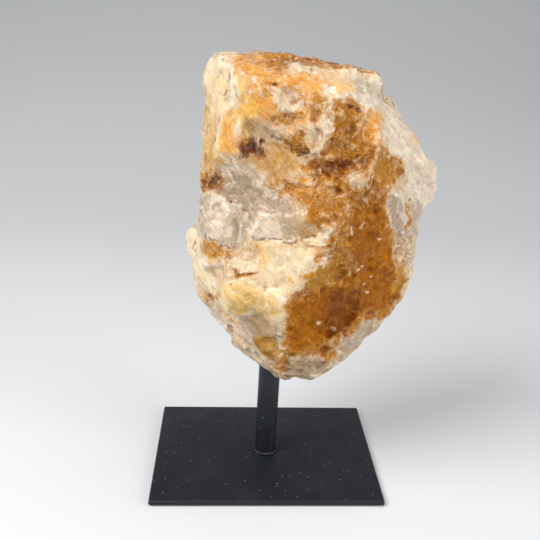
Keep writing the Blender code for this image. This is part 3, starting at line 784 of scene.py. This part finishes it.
def break_skin(skin):
    """Chips, crumbs, cracks and the dark hollow, as real relief; then the covers as attributes."""
    points, normals = skin_arrays(skin)
    covers = stain_covers(points, normals)
    rough = np.full(len(points), PLAIN_ROUGH)
    for stain, share in CRUMBLY.items():
        rough += share * covers[stain]
    rough = np.clip(rough, LEAST_ROUGH, 1.0)
    height = np.zeros(len(points))
    for size, rising, everywhere, seed in CHIPS:
        height += rising * (everywhere + (1.0 - everywhere) * rough) * chips(points, size, seed)[0]
    height += CRUMB_RISE * covers["white"] * chips(points, CRUMB_SIZE, 47)[0]
    limit = np.where(height > 0.0, OUTWARD, INWARD)
    height = limit * np.tanh(height / limit)
    height -= CRACK_DEPTH * covers["crack"]
    height -= HOLLOW_DEPTH * rise(covers["maroon"], 0.4, 1.0) * (1.0 + 0.5 * drift(points, 3.0, 71))
    from_post = np.hypot(points[:, 0] - points[:, 2] * math.tan(POST_LEAN), points[:, 1])
    clear = np.maximum(rise(from_post, POST_CLEARANCE - 2.0, POST_CLEARANCE),
                       rise(points[:, 2], BORE_TOP_Z, BORE_TOP_Z + 2.0))
    points += normals * (height * clear)[:, None]
    skin.data.vertices.foreach_set("co", (points * MM).ravel())
    skin.data.update()
    covers["rough"] = rough
    covers["ridge"] = ridges(skin) * RIDGE_GAIN
    for name, values in covers.items():
        skin.data.attributes.new(name, "FLOAT", "POINT").data.foreach_set("value", values)


def ridges(skin):
    """How far each point stands out of its neighbours, in millimetres, less than 0 in a groove."""
    points, normals = skin_arrays(skin)
    ends = np.empty(len(skin.data.edges) * 2, np.int32)
    skin.data.edges.foreach_get("vertices", ends)
    one, other = ends.reshape(-1, 2).T
    around = np.zeros_like(points)
    count = np.zeros(len(points))
    for here, there in ((one, other), (other, one)):
        np.add.at(around, here, points[there])
        np.add.at(count, here, 1.0)
    out = ((points - around / count[:, None]) * normals).sum(axis=1)
    for _ in range(RIDGE_SPREADING):
        total = out.copy()
        for here, there in ((one, other), (other, one)):
            np.add.at(total, here, out[there])
        out = total / (count + 1.0)
    return out


def ragged(finish, size, seed):
    """Noise that breaks up the edge of a stain, spread over nearly all of 0 to 1."""
    broken = finish.noise(size, 7.0, seed, roughness=0.72)
    return ((broken - 0.5) * SPREAD + 0.5).limited(0.04, 0.96)


def stone_finish():
    finish = Finish("golden_quartz")
    slow = finish.noise(12.0, 4.0, 1.5).step(0.35, 0.65)
    quick = finish.noise(1.8, 6.0, 4.2, roughness=0.7).step(0.3, 0.7)
    fine = finish.noise(0.9, 3.0, 7.0, roughness=0.7).step(0.3, 0.7)
    ridge = finish.attribute("ridge")
    rough = finish.attribute("rough")
    slanted = finish.slanted()
    colour = finish.blend(slow * 0.6 + quick * 0.4, *MILK)
    masks = {}
    for number, (stain, (light, deep, size, raggedness, step)) in enumerate(TONES.items()):
        cover = finish.attribute(stain)
        broken = ragged(finish, size, 10.0 + number)
        border = cover * (1.0 - cover) * 4.0 + 0.12 * cover
        edge = cover + (0.5 - broken) * raggedness * border
        mask = edge.step(0.5 - step, 0.5 + step)
        patches = finish.noise(5.0, 5.0, 30.0 + number, roughness=0.65).step(0.32, 0.68)
        mottle = patches * 0.5 + quick * 0.3 + fine * 0.2
        if stain in ("ochre", "amber"):
            rim = (cover * 1.6 + (0.5 - broken) * raggedness * border).step(0.2, 0.8)
            colour = finish.blend(rim * 0.6, colour, finish.blend(quick, *HONEY))
        colour = finish.blend(mask * STRENGTHS.get(stain, 1.0), colour, finish.blend(mottle, light, deep))
        masks[stain] = mask
    stained = (masks["amber"] * 0.6 + masks["ochre"] * 0.5).limited(0.0, 1.0)
    # Colour of the painted glints and highlights, gold on the stained places, also given to the white veins
    glint_and_vein = finish.blend(stained, GLINT_AND_VEIN_WHITE, GLINT_AND_VEIN_GOLD)
    # Painted highlight: the standing ridges are lightened towards the glint colour, as bright edges that
    # catch the light
    ridge_highlight = (ridge + (quick - 0.5) * 0.5).step(0.25, 0.9)
    sunk = (0.0 - ridge + (quick - 0.5) * 0.4).step(0.15, 0.9)
    colour = finish.blend(ridge_highlight * (0.75 - masks["amber"] * 0.5), colour, glint_and_vein)
    colour = finish.tint(sunk * 0.7, colour, GROOVE)
    for size, share in ((1.9, 0.4), (0.9, 0.4)):
        cell = finish.grains(size, "Color", slanted).dot(CELL_WEIGHTS)
        colour = finish.tint(rough * share + 0.04, colour,
                             finish.blend(cell.step(0.2, 0.8), CELL_DARK, CELL_LIGHT))
    sugar = finish.noise(0.7, 4.0, 111.0, roughness=0.8, place=slanted).step(0.36, 0.64)
    sugary = 0.65 - masks["frost"] * 0.3 - masks["cream"] * 0.3
    colour = finish.tint(sugary, colour, finish.blend(sugar, SUGAR, CELL_LIGHT))
    rust = finish.noise(0.8, 3.0, 51.0, place=finish.drawn_out(1.0, 1.0, 0.6)).step(0.6, 0.72)
    colour = finish.tint(rust * (rough * 0.5 - masks["white"] * 0.2).limited(0.0, 1.0), colour, RUST)
    strewn = finish.noise(7.0, 3.0, 81.0).step(0.4, 0.6)
    thread = finish.thread(2.6, 0.035, 91.0)
    colour = finish.tint(thread * (rough * 0.8 - masks["white"] * 0.5).limited(0.0, 1.0), colour, THREAD)
    # Thin white veins, strewn over the stone, in the colour of the painted glints
    web = finish.thread(2.2, 0.04, 95.0)
    webbed = (0.4 - masks["amber"] * 0.3 - masks["olive"] * 0.3).limited(0.0, 1.0)
    colour = finish.blend(web * strewn * webbed, colour, glint_and_vein)
    # Painted glints: short bright streaks, strewn, more on crumbly places and on the amber
    for seed, shares in ((61.0, (1.0, 1.0, 0.4)), (71.0, (0.45, 1.0, 1.0))):
        glint_streak = finish.noise(0.8, 1.0, seed, place=finish.drawn_out(*shares)).step(0.66, 0.74)
        colour = finish.blend(glint_streak * strewn * (0.45 + rough * 0.5 + masks["amber"] * 0.3), colour, glint_and_vein)
    height = (finish.chips(4.0, slanted) * 3.5
              + (finish.chips(1.8, slanted) * 3.0 + finish.chips(0.9, slanted) * 1.4) * (rough * 0.8 + 0.25)
              + (finish.noise(0.5, 3.0, 3.0) - 0.5) * (rough + 0.2))
    normal = finish.bump(height, MM, 1.0)
    flat = finish.grains(2.4, "Color", slanted).dot(CELL_WEIGHTS).step(0.3, 0.7)
    gloss = 0.14 + flat * 0.3 + masks["white"] * 0.1 + (quick - 0.5) * 0.08
    finish.set_shader(Base_Color=colour, Roughness=gloss, Normal=normal, Subsurface_Weight=0.25,
                      Subsurface_Radius=(1.0, 0.6, 0.35), Subsurface_Scale=0.0025, IOR=1.54,
                      Specular_IOR_Level=0.16, Specular_Tint=(1.0, 0.82, 0.5, 1.0),
                      Coat_Weight=0.5 - stained * 0.45, Coat_Roughness=0.12)
    return finish.material


def quartz():
    skin = stone_skin()
    pull_skin(skin)
    even_out(skin)
    break_skin(skin)
    smooth_by_angle(skin, CREASE_ANGLE)
    skin.data.materials.append(stone_finish())
    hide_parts("quartz")
    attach(skin, "root")


# -------- the stand


PAINT_TONES = (tone(22, 25, 33), tone(38, 42, 52))
DUST = tone(170, 172, 176)
SPECK_WEIGHTS = (0.4, 0.3, 0.3)
STAND_CREASE = math.radians(35)


def paint_finish(name, gloss):
    """Satin black paint with a fine orange peel, a thin film of dust and a few specks."""
    finish = Finish(name)
    peel = finish.noise(0.9, 2.0, 2.0)
    waves = finish.noise(14.0, 2.0, 6.0)
    near = finish.grains(3.4, "Distance")
    choice = finish.grains(3.4, "Color").dot(SPECK_WEIGHTS)
    dust = (0.09 - near).step(0.0, 0.03) * (choice - 0.54).step(0.0, 0.05)
    film = finish.noise(22.0, 4.0, 9.0).step(0.4, 0.75)
    colour = finish.blend(film * 0.5, *PAINT_TONES)
    colour = finish.blend(dust, colour, DUST)
    finish.set_shader(Base_Color=colour, Roughness=gloss + (waves - 0.5) * 0.1 + dust * 0.3,
                      Normal=finish.bump(peel * 0.05 + waves * 0.12, MM), Specular_IOR_Level=0.35)
    return finish.material


def plate():
    low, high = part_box("base_plate")
    bpy.ops.object.select_all(action="DESELECT")
    bpy.ops.mesh.primitive_cube_add(size=1.0, location=(low + high) / 2, scale=high - low)
    made = bpy.context.active_object
    made.name = "stand_plate"
    apply_place(made)
    bpy.ops.object.mode_set(mode="EDIT")
    bpy.ops.mesh.select_all(action="DESELECT")
    bpy.ops.object.mode_set(mode="OBJECT")
    for edge in made.data.edges:
        ends = [made.data.vertices[number].co for number in edge.vertices]
        edge.select = abs(ends[0].z - ends[1].z) > MM
    bpy.ops.object.mode_set(mode="EDIT")
    bpy.ops.mesh.select_mode(type="EDGE")
    bpy.ops.mesh.bevel(offset=PLATE_CORNER * MM, segments=5, affect="EDGES")
    bpy.ops.object.mode_set(mode="OBJECT")
    apply_modifier(made, "BEVEL", width=PLATE_EDGE * MM, segments=4, limit_method="ANGLE",
                   angle_limit=math.radians(60))
    smooth_by_angle(made, STAND_CREASE)
    made.data.materials.append(paint_finish("plate_paint", 0.46))
    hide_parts("base_plate")
    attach(made, "root")


def weld_bead(place):
    """A ring of weld round the rod's foot, its thickness rippled along its run."""
    bpy.ops.object.select_all(action="DESELECT")
    bpy.ops.mesh.primitive_torus_add(major_segments=WELD_SIDES, minor_segments=WELD_ROUNDS,
                                     location=place, rotation=(0, POST_LEAN, 0),
                                     major_radius=WELD_RING * MM, minor_radius=WELD_THICK * MM)
    bead = bpy.context.active_object
    for vertex in bead.data.vertices:
        turn = math.atan2(vertex.co.y, vertex.co.x)
        ring = Vector((math.cos(turn), math.sin(turn), 0)) * WELD_RING * MM
        thickness = 1.0
        for depth, number, start in WELD_RIPPLES:
            thickness += depth * math.sin(turn * number + start)
        vertex.co = ring + (vertex.co - ring) * thickness
    apply_place(bead)
    return bead


def post():
    """The rod with its bead of weld, leant, then cut level just over the plate."""
    low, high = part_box("post")
    foot = Vector((POST_FOOT_X, 0, low.z / MM)) * MM
    length = (high.z - low.z) * 1.1
    along = Vector((math.sin(POST_LEAN), 0, math.cos(POST_LEAN)))
    top = foot + along * (high.z - low.z - 0.1 * MM)
    bpy.ops.object.select_all(action="DESELECT")
    bpy.ops.mesh.primitive_cylinder_add(vertices=POST_SIDES, radius=POST_RADIUS * MM, depth=length,
                                        location=top - along * (length / 2), rotation=(0, POST_LEAN, 0))
    rod = bpy.context.active_object
    rod.name = "stand_post"
    apply_place(rod)
    bead = weld_bead(foot + along * WELD_UP * MM)
    apply_modifier(rod, "BOOLEAN", operation="UNION", solver="EXACT", object=bead)
    bpy.data.objects.remove(bead)
    alone(rod)
    bpy.ops.object.mode_set(mode="EDIT")
    bpy.ops.mesh.select_all(action="SELECT")
    bpy.ops.mesh.bisect(plane_co=(0, 0, low.z), plane_no=(0, 0, 1), use_fill=True, clear_inner=True)
    bpy.ops.mesh.select_all(action="SELECT")
    bpy.ops.mesh.normals_make_consistent(inside=False)
    bpy.ops.object.mode_set(mode="OBJECT")
    rod.data.materials.append(paint_finish("post_paint", 0.42))
    smooth_by_angle(rod, STAND_CREASE)
    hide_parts("post")
    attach(rod, "root")


# -------- the studio


# Light and dark tone of the paper; the dark one is painted shade towards the back and the right
PAPER_TONES = (tone(217, 219, 221), tone(196, 198, 200))
# Each lamp's place, what it is turned to, its size in metres, its power and its colour
LAMPS = {
    "key": ((-0.8, -0.45, 0.95), (0, 0, 0.13), 0.8, 16.0, (1.0, 0.98, 0.96)),
    "overhead": ((0.3, -0.1, 1.5), (0, 0, 0.1), 1.0, 6.5, (1.0, 1.0, 1.0)),
    "fill": ((1.0, -0.6, 0.4), (0, 0, 0.13), 0.7, 8.5, (1.0, 0.99, 0.97)),
}
ROOM_LIGHT = (0.87, 0.89, 0.92, 1.0)
ROOM_STRENGTH = 0.32


def studio():
    """A sheet of pale paper that lies under the stand and sweeps up behind it."""
    bpy.ops.object.select_all(action="DESELECT")
    middle = (0, (SWEEP_BACK + SWEEP_FRONT) / 2, -PAPER_GAP * MM)
    bpy.ops.mesh.primitive_plane_add(size=1.0, location=middle)
    paper = bpy.context.active_object
    paper.name = "paper_sweep"
    paper.scale = (SWEEP_WIDTH, SWEEP_BACK - SWEEP_FRONT, 1.0)
    apply_place(paper)
    for edge in paper.data.edges:
        edge.select = all(paper.data.vertices[number].co.y > SWEEP_BACK - MM for number in edge.vertices)
    for vertex in paper.data.vertices:
        vertex.select = vertex.co.y > SWEEP_BACK - MM
    for face in paper.data.polygons:
        face.select = False
    bpy.ops.object.mode_set(mode="EDIT")
    bpy.ops.mesh.spin(steps=SWEEP_STEPS, angle=math.radians(90), center=(0, SWEEP_BACK, SWEEP_RADIUS),
                      axis=(-1, 0, 0))
    bpy.ops.mesh.extrude_region_move(TRANSFORM_OT_translate={"value": (0, 0, SWEEP_HEIGHT)})
    bpy.ops.object.mode_set(mode="OBJECT")
    alone(paper)
    bpy.ops.object.shade_smooth()
    finish = Finish("pale_paper")
    # Painted shade: the paper darkens towards the back, up the sweep and to the right, as if lit from the
    # front left
    back = finish.place.dot((0.0, 1.0, 0.0)) + finish.place.dot((0.4, 0.0, 0.0)).limited(0.0, 0.3)
    shade = back.step(-0.15, 0.6) * 0.6 + back.step(0.7, 1.3) * 0.4
    finish.set_shader(Base_Color=finish.blend(shade, *PAPER_TONES), Roughness=0.8, Specular_IOR_Level=0.2)
    paper.data.materials.append(finish.material)


def lamp(name, place, target, size, power, colour):
    light = bpy.data.lights.new(name, "AREA")
    light.shape = "DISK"
    light.size = size
    light.energy = power
    light.color = colour
    made = bpy.data.objects.new(name, light)
    bpy.context.scene.collection.objects.link(made)
    aim = (Vector(target) - Vector(place)).to_track_quat("-Z", "Y").to_matrix().to_4x4()
    made.matrix_world = Matrix.Translation(place) @ aim


def lights():
    world = bpy.data.worlds.new("studio")
    bpy.context.scene.world = world
    world.use_nodes = True
    background = world.node_tree.nodes["Background"]
    background.inputs["Color"].default_value = ROOM_LIGHT
    background.inputs["Strength"].default_value = ROOM_STRENGTH
    for name, settings in LAMPS.items():
        lamp(name, *settings)


def camera():
    forward = Vector((math.sin(LOOK_TURN) * math.cos(LOOK_DOWN), math.cos(LOOK_TURN) * math.cos(LOOK_DOWN),
                      -math.sin(LOOK_DOWN)))
    level = Vector((math.cos(LOOK_TURN), -math.sin(LOOK_TURN), 0))
    upward = level.cross(forward)
    right = level * math.cos(LOOK_ROLL) + upward * math.sin(LOOK_ROLL)
    turned = Matrix((right, right.cross(forward), -forward)).transposed().to_4x4()
    lens = bpy.data.cameras.new("camera")
    lens.sensor_width = SENSOR_WIDTH
    lens.lens = FOCAL_PIXELS / VIEW_PIXELS * SENSOR_WIDTH
    lens.clip_start = 0.01
    made = bpy.data.objects.new("camera", lens)
    bpy.context.scene.collection.objects.link(made)
    made.matrix_world = Matrix.Translation(EYE) @ turned
    bpy.context.scene.camera = made


bpy.context.scene.view_settings.view_transform = "Standard"
camera()
studio()
lights()
quartz()
plate()
post()
bpy.context.view_layer.update()
